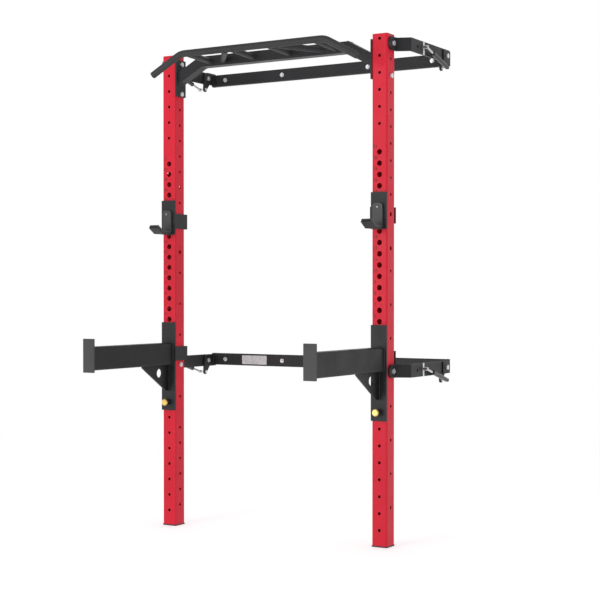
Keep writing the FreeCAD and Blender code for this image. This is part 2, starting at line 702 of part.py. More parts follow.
def make_through_bolts(name, height, arm_here):
    """Bolt across each upright with its head outside, a nut inside and spacer washers."""
    bolts = []
    z = FLOOR + height
    inner_face = INNER_X - D.mount_plate_thick if height is not D.lower_pivot else INNER_X
    outer_face = ARM_X + D.arm_thick + D.free_gap if arm_here else OUTER_X
    for word, side in SIDES:
        tag = "%s_%s" % (name, word)
        near = inner_face - D.hex_thick
        far = outer_face + D.hex_thick
        pieces = [
            across(round_bar, tag + "_shank", side, near - 3, far, UPRIGHT_Y, z, D.pivot_bolt),
            across(hex_bar, tag + "_nut", side, near, inner_face, UPRIGHT_Y, z, D.hex_round),
            across(hex_bar, tag + "_head", side, outer_face, far, UPRIGHT_Y, z, D.hex_round),
        ]
        if arm_here:
            pieces.append(across(round_bar, tag + "_spacer", side, OUTER_X,
                                 ARM_X - D.free_gap, UPRIGHT_Y, z, D.washer_round))
        bolts.append(fuse(tag, pieces))
    return group(name, bolts)


# ---------------------------------------------------------------- wall stringers

def make_stringer(word, height):
    """Flat tube along the wall with its four wall bolt holes."""
    name = "stringer_" + word
    length = EAR_X * 2
    body, blank = rounded_tube(name, "YZ_Plane", D.stringer_depth, D.stringer_height, length,
                               D.stringer_wall, D.stringer_wall + 1.5)
    DOC.recompute()
    before = blank.Shape.Volume
    sketch = new_sketch(body, name + "_holes", "XZ_Plane")
    for number, x in enumerate((-D.outer_bolts, -D.inner_bolts, D.inner_bolts, D.outer_bolts)):
        add_circle(sketch, "h%d" % number, (x, 0), D.wall_bolt_hole)
    holes = extrude(body, "Pocket", name + "_drilled", sketch, D.stringer_depth + 10)
    DOC.recompute()
    assert holes.Shape.Volume < before
    place(body, (0, -D.stringer_depth / 2, FLOOR + height))
    return body


def make_ear(tag, side, pivot, stringer):
    """Side plate: rounded about the pivot, with a lug hanging down for the gas spring."""
    z = FLOOR + pivot
    stringer_z = FLOOR + stringer
    far = EAR_X + D.ear_thick
    half = D.stringer_height / 2
    lug_y = WALL_PIVOT_Y - D.lug_back
    lug_z = z - D.lug_down
    web = profile_body(tag + "_lug", [
        (-D.ear_round, 0), (-D.lug_back - D.lug_round, -D.lug_down),
        (-D.lug_back + D.lug_round, -D.lug_down), (D.ear_round / 2, -D.ear_round),
        (D.ear_round / 2, 0)],
        D.ear_thick, ((EAR_X + D.ear_thick / 2) * side, WALL_PIVOT_Y, z))[0]
    pieces = [
        web,
        across(round_bar, tag + "_round", side, EAR_X, far, WALL_PIVOT_Y, z, D.ear_round),
        side_box(tag + "_web", side, EAR_X, far, (WALL_PIVOT_Y, z - D.ear_round),
                 (D.pivot_standoff, D.ear_round * 2)),
        side_box(tag + "_foot", side, EAR_X, far, (-D.stringer_depth, stringer_z - half),
                 (D.stringer_depth, D.stringer_height)),
        across(round_bar, tag + "_tip", side, EAR_X, far, lug_y, lug_z, D.lug_round),
    ]
    holes = [
        across(round_bar, tag + "_bore", side, EAR_X - 1, far + 1, WALL_PIVOT_Y, z, D.small_hole),
        across(round_bar, tag + "_stud_hole", side, EAR_X - 1, far + 1, lug_y, lug_z,
               D.stud_round + 0.2),
    ]
    return cut(tag, fuse(tag + "_blank", pieces), fuse(tag + "_holes", holes))


def make_ears():
    ears = []
    stringers = {"upper": D.upper_stringer, "lower": D.lower_stringer}
    for level, pivot in LEVELS:
        for word, side in SIDES:
            ears.append(make_ear("ear_%s_%s" % (level, word), side, pivot, stringers[level]))
    return group("wall_ears", ears)


def make_keepers():
    """Plates on the wall pivot bolts that hold the arms' rear ends from outside."""
    keepers = []
    far = KEEPER_X + D.keeper_thick
    for level, pivot in LEVELS:
        for word, side in SIDES:
            tag = "keeper_%s_%s" % (level, word)
            z = FLOOR + pivot
            blank = side_box(tag + "_blank", side, KEEPER_X, far,
                             (WALL_PIVOT_Y - D.keeper_ahead, z - D.keeper_tall / 2),
                             (D.keeper_ahead + D.keeper_behind, D.keeper_tall))
            bore = across(round_bar, tag + "_bore", side, KEEPER_X - 1, far + 1, WALL_PIVOT_Y, z,
                          D.small_hole)
            keepers.append(cut(tag, blank, bore))
    return group("pivot_keepers", keepers)


def make_wall_bolts():
    """Lag bolts: washer and hex head in front of the stringer, shank on into the wall."""
    bolts = []
    front = -D.stringer_depth
    for level, height in (("upper", D.upper_stringer), ("lower", D.lower_stringer)):
        spots = (-D.outer_bolts, -D.inner_bolts, D.inner_bolts, D.outer_bolts)
        for number, x in enumerate(spots, start=1):
            tag = "wall_bolt_%s_%d" % (level, number)
            z = FLOOR + height
            washer_y = front - D.washer_thick
            head_y = washer_y - D.wall_head_thick
            bolts.append(fuse(tag, [
                round_bar(tag + "_neck", (x, head_y, z), "Y", D.wall_bolt_neck, -head_y),
                round_bar(tag + "_shank", (x, -1, z), "Y", D.wall_bolt, D.wall_bolt_reach + 1),
                round_bar(tag + "_washer", (x, washer_y, z), "Y", D.wall_washer, D.washer_thick),
                hex_bar(tag + "_head", (x, head_y, z), "Y", D.wall_head_round, D.wall_head_thick),
            ]))
    return group("wall_bolts", bolts)


def make_wall_pivot_bolts():
    """Pivot bolt at each ear: nut inside, spacer between ear and arm, head on the keeper."""
    bolts = []
    ear_far = EAR_X + D.ear_thick
    head_near = KEEPER_X + D.keeper_thick
    for level, pivot in LEVELS:
        for word, side in SIDES:
            tag = "wall_pivot_%s_%s" % (level, word)
            z = FLOOR + pivot
            far = head_near + D.hex_thick
            near = EAR_X - D.hex_thick
            bolts.append(fuse(tag, [
                across(round_bar, tag + "_shank", side, near - 3, far, WALL_PIVOT_Y, z,
                       D.pivot_bolt),
                across(hex_bar, tag + "_nut", side, near, EAR_X, WALL_PIVOT_Y, z, D.hex_round),
                across(round_bar, tag + "_spacer", side, ear_far, ARM_WALL_X - D.free_gap,
                       WALL_PIVOT_Y, z, D.washer_round),
                across(hex_bar, tag + "_head", side, head_near, far, WALL_PIVOT_Y, z,
                       D.hex_round),
            ]))
    return group("wall_pivot_bolts", bolts)


def make_spring_studs():
    """Studs through the lugs that the gas springs turn on."""
    studs = []
    for level, pivot in LEVELS:
        for word, side in SIDES:
            tag = "spring_stud_%s_%s" % (level, word)
            y = WALL_PIVOT_Y - D.lug_back
            z = FLOOR + pivot - D.lug_down
            far = EAR_X + D.ear_thick
            studs.append(fuse(tag, [
                across(round_bar, tag + "_shank", side, EAR_X - 5, D.spring_plane + 2, y, z,
                       D.stud_round),
                across(hex_bar, tag + "_nut", side, EAR_X - 5, EAR_X, y, z, D.stud_round * 2),
                across(hex_bar, tag + "_collar", side, far, far + 5, y, z, D.stud_round * 2),
            ]))
    return group("spring_studs", studs)


def make_data_plate():
    """Blank plate riveted to the lower stringer."""
    body = new_body("data_plate")
    sketch = new_sketch(body, "data_plate_outline", "XZ_Plane")
    add_polygon(sketch, "o", rectangle(D.plate_long, D.plate_tall))
    blank = extrude(body, "Pad", "data_plate_pad", sketch, D.plate_thick)

    def is_corner(a, b):
        return abs(abs(a[1] - b[1]) - D.plate_thick.value) < 0.01

    fillet(body, "data_plate_corners", blank, is_corner, 3)
    place(body, (-D.plate_middle, -D.stringer_depth - D.plate_thick / 2,
                 FLOOR + D.lower_stringer))
    return body


# ---------------------------------------------------------------- swing arms

def make_arm(level, pivot, word, side):
    """Flat bar with a sideways step.  The sketch's origin is the upright pivot."""
    name = "arm_%s_%s" % (level, word)
    body = new_body(name)
    half = D.arm_height / 2
    near = 0.0
    far = D.arm_thick
    step_end = D.jog_start + D.jog_run
    shift = D.arm_thick * 0.4
    outline = [
        (near, -half), (near, D.jog_start + shift), (D.arm_jog, step_end + shift),
        (D.arm_jog, D.arm_length + half), (D.arm_jog + far, D.arm_length + half),
        (D.arm_jog + far, step_end), (as_size(far), D.jog_start), (as_size(far), -half)]
    sketch = new_sketch(body, name + "_outline", "XY_Plane")
    add_polygon(sketch, "o", [(as_size(a) * side, as_size(b)) for a, b in outline])
    blank = extrude(body, "Pad", name + "_pad", sketch, D.arm_height)

    def is_end(a, b):
        across_bar = abs(abs(a[0] - b[0]) - D.arm_thick.value) < 0.01
        front = abs(a[1] + half.value) < 0.01
        back = abs(a[1] - D.arm_length.value - half.value) < 0.01
        return across_bar and abs(a[2] - b[2]) < 0.01 and (front or back)

    rounded = fillet(body, name + "_ends", blank, is_end, half - 0.5)
    DOC.recompute()
    holes = new_sketch(body, name + "_holes", "YZ_Plane")
    bore = D.pivot_bolt + D.running_gap
    add_circle(holes, "front", (0, 0), bore)
    add_circle(holes, "back", (D.arm_length, 0), bore)
    add_circle(holes, "spare", (D.arm_hole_at, 0), D.small_hole)
    drilled = extrude(body, "Pocket", name + "_drilled", holes, (D.arm_jog + far) * 2 + 20)
    DOC.recompute()
    assert drilled.Shape.Volume < rounded.Shape.Volume
    place(body, (ARM_X * side, UPRIGHT_Y, FLOOR + pivot))
    return body


def make_stud_plates(level, pivot):
    """Zinc strips on the arms' outer faces, where the gas springs pull."""
    plates = []
    near = ARM_WALL_X + D.arm_thick
    y = WALL_PIVOT_Y - D.stud_out
    for word, side in SIDES:
        plates.append(side_box("stud_plate_%s_%s" % (level, word), side, near,
                               near + D.stud_plate_thick,
                               (y - D.stud_plate_wide / 2, FLOOR + pivot - D.arm_height / 2),
                               (D.stud_plate_wide, D.arm_height)))
    return group("stud_plates_" + level, plates)


# ---------------------------------------------------------------- gas springs

def lay_along(item, origin, reach_y, reach_z):
    """Turn a piece built up +Z so that it points along a Y and Z reach."""
    place(item, origin, FreeCAD.Rotation(UNIT["X"], 10.0))
    item.setExpression("Placement.Rotation.Angle",
                       "atan2(%s; %s)" % ((-reach_y).formula, reach_z.formula))


def make_gas_spring(level, pivot, word, side):
    """Barrel and rod.  The right springs have the barrel at the wall, the left ones the rod."""
    barrel_at_wall = side > 0
    reach_y = -(D.stud_out - D.lug_back)
    reach_z = D.stud_up + D.lug_down
    total = root(reach_y * reach_y + reach_z * reach_z)
    wall_spot = (D.spring_plane * side, WALL_PIVOT_Y - D.lug_back,
                 FLOOR + pivot - D.lug_down)
    arm_spot = (D.spring_plane * side, WALL_PIVOT_Y - D.stud_out, FLOOR + pivot + D.stud_up)
    origin = wall_spot if barrel_at_wall else arm_spot
    turn_y = reach_y if barrel_at_wall else -reach_y
    turn_z = reach_z if barrel_at_wall else -reach_z
    tag = "%s_%s" % (level, word)
    barrel = fuse("barrel_blank_" + tag, [
        round_bar("barrel_tube_" + tag, (0, 0, D.barrel_start), "Z", D.barrel_round,
                  D.barrel_length),
        round_bar("barrel_ring_" + tag,
                  (0, 0, D.barrel_start + D.barrel_length - D.ring_length), "Z",
                  D.ring_round, D.ring_length),
        round_bar("barrel_neck_" + tag, (0, 0, 0), "Z", D.rod_round + 1, D.barrel_start + 1),
        socket("barrel_" + tag, 0, side, not barrel_at_wall),
    ])
    tools = [round_bar("barrel_bore_" + tag, (0, 0, D.barrel_start + 8), "Z",
                       D.rod_round + D.running_gap, D.barrel_length)]
    if barrel_at_wall:
        tools.append(stud_bore("barrel_" + tag, 0, side))
    rod = fuse("rod_blank_" + tag, [
        round_bar("rod_bar_" + tag, (0, 0, D.rod_start), "Z", D.rod_round,
                  total - D.rod_start),
        socket("rod_" + tag, total, side, barrel_at_wall),
    ])
    barrel_piece = cut("gas_barrel_" + tag, barrel, fuse("barrel_tools_" + tag, tools))
    rod_piece = rod
    if not barrel_at_wall:
        rod_piece = cut("gas_rod_" + tag, rod, stud_bore("rod_" + tag, total, side))
    rod_piece.Label = "gas_rod_" + tag
    for piece in (barrel_piece, rod_piece):
        lay_along(piece, origin, turn_y, turn_z)
    return [barrel_piece, rod_piece]


def socket(tag, height, side, on_arm):
    """Ball socket across the spring; on the arm's side its stud rides with it."""
    half = D.socket_half
    body = round_bar(tag + "_socket", (-half, 0, height), "X", D.socket_round, half * 2)
    if not on_arm:
        return body
    reach = D.spring_plane - ARM_WALL_X - D.arm_thick - D.stud_plate_thick - D.stud_clear
    start = -reach if side > 0 else as_size(0)
    stud = round_bar(tag + "_stud", (start, 0, height), "X", D.stud_round, reach)
    collar_start = -reach if side > 0 else reach - 4
    collar = round_bar(tag + "_collar", (collar_start, 0, height), "X", D.stud_round * 1.8, 4)
    return fuse(tag + "_joint", [body, stud, collar])


def stud_bore(tag, height, side):
    """Blind bore that turns on the wall stud."""
    depth = D.socket_half + 3
    start = -D.socket_half - 1 if side > 0 else D.socket_half + 1 - depth - 1
    return round_bar(tag + "_stud_bore", (start, 0, height), "X",
                     D.stud_round + D.running_gap, depth + 1)


# ---------------------------------------------------------------- attachments

def make_carrier(name, side, low, tall, peg, strap_low, strap_tall, extra, tools):
    """Front plate with a peg, and a strap round the upright's inner side to a rear lip."""
    x = D.upright_spacing / 2 * side
    half = D.carrier_wide / 2
    strap_near = INNER_X - D.fit_gap - D.strap_thick
    strap_far = INNER_X - D.fit_gap
    lip_y = BACK_Y + D.lip_gap
    strap_z = FLOOR + strap_low
    pieces = [
        box(name + "_plate", (x - half, CARRIER_FRONT_Y, FLOOR + low),
            (D.carrier_wide, D.carrier_thick, tall)),
        round_bar(name + "_peg", (x, CARRIER_Y - 1, FLOOR + peg), "Y", D.peg_round,
                  D.peg_length + 1),
        side_box(name + "_strap", side, strap_near, strap_far, (CARRIER_FRONT_Y, strap_z),
                 (lip_y + D.strap_thick - CARRIER_FRONT_Y, strap_tall)),
        side_box(name + "_lip", side, strap_near, strap_near + D.lip_reach, (lip_y, strap_z),
                 (D.strap_thick, strap_tall)),
    ]
    blank = fuse(name + "_blank", pieces + extra)
    if tools:
        return cut(name, blank, fuse(name + "_tools", tools))
    blank.Label = name
    return blank


def profile_body(name, spots, width, place_at):
    """Side profile in Y and Z, with the same width all the way across."""
    body = new_body(name)
    sketch = new_sketch(body, name + "_profile", "YZ_Plane")
    add_polygon(sketch, "o", spots)
    pad = extrude(body, "Pad", name + "_pad", sketch, width)
    place(body, place_at)
    return body, pad


def cradle_line(offset):
    """Upper line of the cradle from the plate out to the tip, raised by an offset."""
    lean = root(D.cradle_reach * D.cradle_reach + D.cradle_rise * D.cradle_rise)
    along_y = D.cradle_reach / lean
    along_z = D.cradle_rise / lean
    bend = D.cradle_flat - offset * (as_size(1) - along_y) / along_z
    tip_y = D.cradle_flat + D.cradle_reach - offset * along_z
    tip_z = D.cradle_rise + offset * along_y
    return bend, tip_y, tip_z


def make_holder(word, side):
    """Bar holder: carrier, bent steel cradle, plastic liner and its screw."""
    x = D.upright_spacing / 2 * side
    top = FLOOR + D.holder_low + D.cradle_thick
    origin = (x, CARRIER_FRONT_Y, top)
    carrier = make_carrier("holder_plate_" + word, side, D.holder_low, D.holder_tall,
                           D.holder_peg, D.holder_strap_low, D.holder_strap_tall, [], [])
    low_bend, low_tip_y, low_tip_z = cradle_line(-D.cradle_thick)
    bend, tip_y, tip_z = cradle_line(as_size(0))
    cradle, cradle_pad = profile_body("holder_cradle_" + word, [
        (0, 0), (0, -D.cradle_thick), (-low_bend, -D.cradle_thick), (-low_tip_y, low_tip_z),
        (-tip_y, tip_z), (-bend, 0)], D.cradle_wide, origin)

    def is_tip(a, b):
        return abs(abs(a[0] - b[0]) - D.cradle_wide.value) < 0.01 and a[2] > 5

    fillet(cradle, "holder_cradle_tip_" + word, cradle_pad, is_tip, 3)
    top_bend, top_tip_y, top_tip_z = cradle_line(D.liner_floor)
    liner, liner_pad = profile_body("holder_liner_" + word, [
        (0, 0), (-bend, 0), (-tip_y, tip_z), (-top_tip_y, top_tip_z),
        (-top_bend, D.liner_floor), (-D.liner_thick, D.liner_floor),
        (-D.liner_thick, D.liner_high), (0, D.liner_high)], D.cradle_wide, origin)

    def is_crown(a, b):
        upper = a[2] > D.liner_high.value - 0.01 and b[2] > D.liner_high.value - 0.01
        return upper and abs(abs(a[0]) - D.cradle_wide.value / 2) < 0.01 and abs(a[0] - b[0]) < 0.01

    fillet(liner, "holder_liner_crown_" + word, liner_pad, is_crown, 14)
    screw = round_bar("holder_screw_" + word,
                      (x, CARRIER_FRONT_Y - D.liner_thick - 2.5, top + D.liner_high - 18), "Y",
                      D.screw_round, 2.5)
    screw.Label = "holder_screw_" + word
    return [carrier, cradle, liner, screw]


def make_spotter(word, side):
    """Spotter arm: carrier, deep box tube, end stop, gusset, pin housing and pull pin."""
    x = D.upright_spacing / 2 * side
    pin_z = FLOOR + D.pin_high
    pin_hole = round_bar("spotter_pin_hole_" + word, (x, CARRIER_FRONT_Y - 1, pin_z), "Y",
                         D.pin_round + D.running_gap, D.carrier_thick + 2)
    carrier = make_carrier("spotter_plate_" + word, side, D.spotter_low, D.spotter_tall,
                           D.spotter_peg, D.spotter_strap_low, D.spotter_strap_tall, [],
                           [pin_hole])
    reach = D.spotter_reach - D.fit_gap - D.carrier_thick
    tube = rounded_tube("spotter_tube_" + word, "XZ_Plane", D.spotter_tube_wide,
                        D.spotter_tube_tall, reach, D.upright_wall, D.upright_corner)[0]
    place(tube, (x, CARRIER_FRONT_Y - reach / 2,
                 FLOOR + D.spotter_tube_low + D.spotter_tube_tall / 2))
    stop_back = FRONT_Y - D.spotter_reach
    stop, stop_pad = profile_body("spotter_stop_" + word, rectangle(D.carrier_thick, D.stop_tall),
                                  D.stop_wide,
                                  (x, stop_back - D.carrier_thick / 2,
                                   FLOOR + D.stop_low + D.stop_tall / 2))

    def is_corner(a, b):
        return abs(abs(a[1] - b[1]) - D.carrier_thick.value) < 0.01 and abs(a[2] - b[2]) < 0.01

    fillet(stop, "spotter_stop_corners_" + word, stop_pad, is_corner, 2.5)
    gusset, gusset_pad = profile_body("spotter_gusset_" + word, [
        (0, 0), (-D.gusset_long, 0), (-D.gusset_long, -D.gusset_toe),
        (-D.gusset_foot, -D.gusset_tall), (0, -D.gusset_tall)], D.carrier_thick,
        (x, CARRIER_FRONT_Y, FLOOR + D.spotter_tube_low))
    hole = new_sketch(gusset, "gusset_hole_" + word, "YZ_Plane")
    add_circle(hole, "c", (-D.gusset_hole_out, -D.gusset_hole_down), D.gusset_hole)
    DOC.recompute()
    pierced = extrude(gusset, "Pocket", "gusset_pierced_" + word, hole, D.carrier_thick + 10)
    DOC.recompute()
    assert pierced.Shape.Volume < gusset_pad.Shape.Volume
    housing = cut("pin_housing_" + word,
                  hex_bar("pin_hex_" + word, (x, CARRIER_FRONT_Y - D.nut_length, pin_z), "Y",
                          D.nut_round, D.nut_length),
                  round_bar("pin_bore_" + word, (x, CARRIER_FRONT_Y - D.nut_length - 1, pin_z),
                            "Y", D.pin_round + D.running_gap, D.nut_length + 2))
    knob_back = CARRIER_FRONT_Y - D.nut_length - D.knob_gap
    bevel = D.knob_round * 0.25
    front_face = knob_back - D.knob_length
    edge = DOC.addObject("Part::Cone", "knob_bevel_" + word)
    bind(edge, "Radius1", D.knob_round - bevel)
    bind(edge, "Radius2", D.knob_round)
    bind(edge, "Height", bevel)
    place(edge, (x, front_face, pin_z), FreeCAD.Rotation(UNIT["Z"], UNIT["Y"]))
    pin = fuse("pull_pin_" + word, [
        round_bar("pin_shank_" + word, (x, knob_back - 1, pin_z), "Y", D.pin_round,
                  FRONT_Y + D.pin_depth - knob_back + 1),
        round_bar("knob_head_" + word, (x, front_face + bevel, pin_z), "Y", D.knob_round,
                  D.knob_length * 0.5 - bevel),
        round_bar("knob_neck_" + word, (x, front_face + D.knob_length * 0.5, pin_z), "Y",
                  D.knob_neck, D.knob_length * 0.5),
        edge,
    ])
    return [carrier, tube, stop, gusset, housing, pin]


# ---------------------------------------------------------------- the rack

def build_rack():
    nodes = [make_foot_caps(), make_top_caps(), make_beam(), make_mount_plates(),
             make_front_bar(), make_bar_caps(), make_neutral_grips(),
             make_through_bolts("pivot_bolts_upper", D.upper_pivot, True),
             make_through_bolts("pivot_bolts_lower", D.lower_pivot, True),
             make_through_bolts("end_plate_bolts", D.lower_bolt, False),
             make_stringer("upper", D.upper_stringer), make_stringer("lower", D.lower_stringer),
             make_ears(), make_keepers(), make_wall_bolts(), make_wall_pivot_bolts(), make_spring_studs(),
             make_data_plate()]
    for word, side in SIDES:
        nodes.append(make_upright(word, side))
        nodes.append(make_brace(word, side))
        nodes.extend(make_holder(word, side))
        nodes.extend(make_spotter(word, side))
    for level, pivot in LEVELS:
        nodes.append(make_stud_plates(level, pivot))
        for word, side in SIDES:
            nodes.append(make_arm(level, pivot, word, side))
            nodes.extend(make_gas_spring(level, pivot, word, side))
    DOC.recompute()
    return nodes


def export(nodes):
    """Check every object and write one STEP file for each node."""
    for item in DOC.Objects:
        bad = [state for state in item.State if state in ("Invalid", "Error")]
        assert not bad, "%s is %s" % (item.Label, bad)
    os.makedirs("parts", exist_ok=True)
    for item in nodes:
        shape = item.Shape
        assert not shape.isNull() and shape.isValid(), item.Label
        assert shape.Volume > 1, item.Label
        shape.exportStep("parts/%s.step" % item.Label)
    print("%d nodes" % len(nodes))


export(build_rack())
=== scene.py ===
# Looks for the wall-mounted folding squat rack.  Metres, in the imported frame:
# the origin is on the wall, +Z up, -Y towards the user.
import math

import bpy
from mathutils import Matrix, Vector


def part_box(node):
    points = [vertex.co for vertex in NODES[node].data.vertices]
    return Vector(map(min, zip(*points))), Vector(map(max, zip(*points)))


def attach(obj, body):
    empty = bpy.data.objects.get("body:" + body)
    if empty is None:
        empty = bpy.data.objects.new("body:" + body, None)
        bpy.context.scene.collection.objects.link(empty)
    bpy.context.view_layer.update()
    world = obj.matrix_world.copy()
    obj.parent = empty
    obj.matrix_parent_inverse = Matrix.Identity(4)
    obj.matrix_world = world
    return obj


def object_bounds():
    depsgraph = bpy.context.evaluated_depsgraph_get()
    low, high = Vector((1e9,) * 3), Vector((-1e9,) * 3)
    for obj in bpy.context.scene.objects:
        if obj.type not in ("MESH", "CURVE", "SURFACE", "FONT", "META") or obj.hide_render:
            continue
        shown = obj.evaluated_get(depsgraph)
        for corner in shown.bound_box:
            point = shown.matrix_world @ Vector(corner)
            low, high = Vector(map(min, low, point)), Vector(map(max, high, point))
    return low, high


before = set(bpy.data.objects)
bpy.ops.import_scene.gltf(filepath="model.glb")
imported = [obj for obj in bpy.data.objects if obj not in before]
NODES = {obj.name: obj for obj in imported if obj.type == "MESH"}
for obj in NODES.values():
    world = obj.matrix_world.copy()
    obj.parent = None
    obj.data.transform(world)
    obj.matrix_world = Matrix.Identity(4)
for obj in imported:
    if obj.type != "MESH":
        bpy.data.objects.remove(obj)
CAD_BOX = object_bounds()
FLOOR_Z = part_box("foot_caps")[0][2]
SIDES = {"left": -1, "right": 1}
WHITE = (1.0, 1.0, 1.0)
NOTHING = (0.0, 0.0, 0.0)

# The numbers beside the large holes.
LARGE_HOLES = 21
HOLE_PITCH = 0.05
FIRST_HOLE_Z = FLOOR_Z + 0.75
DIGIT_SIZE = 0.021
DIGIT_THICK = 0.0001
DIGIT_GAP = 0.00015         # between the upright's face and the middle of the digits
DIGIT_IN = 0.0165           # from the upright's left edge to the middle of the number
DIGIT_RISE = 0.018          # from the hole's centre up to the number's base line

# Weld beads: the shape of a bead, then its radius in each place.
BEAD_SIDES = 6
BEAD_STEP = 0.003
BEAD_RIPPLE = 0.18
RIPPLE_TURN = 2.1
BEAM_END_BEAD = 0.0022
BRACE_BEAD = 0.003
GRIP_BEAD = 0.0022
SPOTTER_PLATE_BEAD = 0.003
SPOTTER_STOP_BEAD = 0.0025
GUSSET_BEAD = 0.002
CRADLE_BEAD = 0.002
STRINGER_EDGE_BEAD = 0.0018
STRINGER_END_BEAD = 0.0022

# Where the beads run, beyond what the frame's boxes say.
MITRE_RUN = 0.0126          # how far the beam's slanted end steps in from top to bottom
BRACE_FOOT = 0.0568         # height of the brace's foot on the end plate
GRIP_RADIUS = 0.014
GRIP_RING_POINTS = 28
GRIP_BITE = 0.0005          # how far a grip's bead sinks into the beam
GRIP_ENDS = ((0.098, 1.0), (0.267, 1.25), (0.342, 1.0))     # place across, stretch of a slanted tube
SPOTTER_CORNER = 0.004
CRADLE_SIDE_RUN = 0.009
STRINGER_EDGE_IN = 0.001
STRINGER_EDGE_SHORT = 0.003
STRINGER_END_SHORT = 0.004

# The data plate's rivets.
RIVET_RADIUS = 0.0028
RIVET_HEIGHT = 0.0012
RIVET_IN = 0.007

# The studio.
FLOOR_REACH = 60.0
FLOOR_DROP = 0.0005
FLOOR_SHADE_START = 2.4     # from here outwards the floor fades to plain white
FLOOR_SHADE_END = 5.0
FLOOR_COLOUR = (0.90, 0.90, 0.90)
FLOOR_GLOW = (0.41, 0.41, 0.41)
DIM_SKY = (0.50, 0.50, 0.51)
BRIGHT_WAY = (-0.45, 0.89, 0.0)
HAZE_HEIGHT = 0.35


# ---------------------------------------------------------------- material helpers

class Tree:
    """A node tree, with short calls for adding and joining nodes."""

    def __init__(self, tree):
        self.tree = tree
        self.where = self.add("ShaderNodeTexCoord")

    def add(self, kind, **values):
        node = self.tree.nodes.new(kind)
        for key, value in values.items():
            setattr(node, key, value)
        return node

    def link(self, source, output, target, entry):
        self.tree.links.new(source.outputs[output], target.inputs[entry])

    def ramp(self, source, output, low, high, start=0.0, end=1.0):
        """Map a value to a colour between two stops."""
        node = self.add("ShaderNodeValToRGB")
        node.color_ramp.elements[0].position = start
        node.color_ramp.elements[1].position = end
        node.color_ramp.elements[0].color = (*low, 1.0)
        node.color_ramp.elements[1].color = (*high, 1.0)
        self.link(source, output, node, "Fac")
        return node

    def remap(self, source, output, start, end, first=0.0, last=1.0, **values):
        """Stretch a value's range onto another range."""
        node = self.add("ShaderNodeMapRange", **values)
        node.inputs["From Min"].default_value = start
        node.inputs["From Max"].default_value = end
        node.inputs["To Min"].default_value = first
        node.inputs["To Max"].default_value = last
        self.link(source, output, node, "Value")
        return node

    def fade(self, amount, output, source, colour):
        """Fade a node's colour to a fixed colour.  The result is output 2."""
        node = self.add("ShaderNodeMix", data_type="RGBA")
        self.link(amount, output, node, 0)
        self.link(source, "Color", node, 6)
        node.inputs[7].default_value = (*colour, 1.0)
        return node


class Graph(Tree):
    """A material's node tree round one principled shader."""

    def __init__(self, name):
        self.material = bpy.data.materials.new(name)
        self.material.use_nodes = True
        self.material.node_tree.nodes.clear()
        super().__init__(self.material.node_tree)
        out = self.add("ShaderNodeOutputMaterial")
        self.shader = self.add("ShaderNodeBsdfPrincipled")
        self.link(self.shader, "BSDF", out, "Surface")

    def set(self, **values):
        for key, value in values.items():
            self.shader.inputs[key.replace("_", " ")].default_value = value

    def noise(self, scale, detail=3.0, roughness=0.5):
        node = self.add("ShaderNodeTexNoise")
        node.inputs["Scale"].default_value = scale
        node.inputs["Detail"].default_value = detail
        node.inputs["Roughness"].default_value = roughness
        self.link(self.where, "Object", node, "Vector")
        return node

    def cells(self, scale):
        node = self.add("ShaderNodeTexVoronoi")
        node.inputs["Scale"].default_value = scale
        self.link(self.where, "Object", node, "Vector")
        return node

    def softened(self, radius):
        """The surface's direction with its edges rounded off."""
        node = self.add("ShaderNodeBevel", samples=4)
        node.inputs["Radius"].default_value = radius
        return node

    def worn_edges(self, radius=0.0012, start=0.02, end=0.12):
        """White where the surface bends sharply, broken up by noise: the mask for edge wear and a
        painted edge highlight.
        """
        flat = self.add("ShaderNodeNewGeometry")
        dot = self.add("ShaderNodeVectorMath", operation="DOT_PRODUCT")
        self.link(self.softened(radius), "Normal", dot, 0)
        self.link(flat, "Normal", dot, 1)
        bend = self.add("ShaderNodeMath", operation="SUBTRACT")
        bend.inputs[0].default_value = 1.0
        self.link(dot, "Value", bend, 1)
        patchy = self.noise(scale=60.0, detail=4.0, roughness=0.7)
        amount = self.add("ShaderNodeMath", operation="MULTIPLY")
        self.link(bend, "Value", amount, 0)
        self.link(patchy, "Fac", amount, 1)
        return self.ramp(amount, "Value", NOTHING, WHITE, start, end)

    def bump(self, height, output, strength, distance, edge_radius=0.0008):
        """Surface relief over softened edges."""
        node = self.add("ShaderNodeBump")
        node.inputs["Strength"].default_value = strength
        node.inputs["Distance"].default_value = distance
        self.link(height, output, node, "Height")
        self.link(self.softened(edge_radius), "Normal", node, "Normal")
        self.link(node, "Normal", self.shader, "Normal")

    def roughness(self, source, low, high):
        """Let a noise move the roughness between two values."""
        sheen = self.ramp(source, "Fac", (low,) * 3, (high,) * 3, 0.3, 0.7)
        self.link(sheen, "Color", self.shader, "Roughness")


def powder_coat(name, base, deep, worn_and_lit, rough, grain, depth, gloss=0.4):
    """Powder coat: orange-peel grain, faint colour drift, and rubbed edges that also carry a painted
    highlight in a lighter tone.
    """
    graph = Graph(name)
    drift = graph.noise(scale=3.0)
    colour = graph.ramp(drift, "Fac", deep, base, 0.3, 0.7)
    # Lighter colour along sharp edges: partly wear, partly a painted highlight.
    painted = graph.fade(graph.worn_edges(), "Color", colour, worn_and_lit)
    graph.link(painted, 2, graph.shader, "Base Color")
    smudge = graph.noise(scale=9.0, detail=5.0, roughness=0.6)
    graph.roughness(smudge, rough - 0.06, rough + 0.08)
    graph.set(Specular_IOR_Level=gloss)
    peel = graph.noise(scale=grain, detail=2.0)
    graph.bump(peel, "Fac", strength=depth, distance=0.0004)
    return graph.material


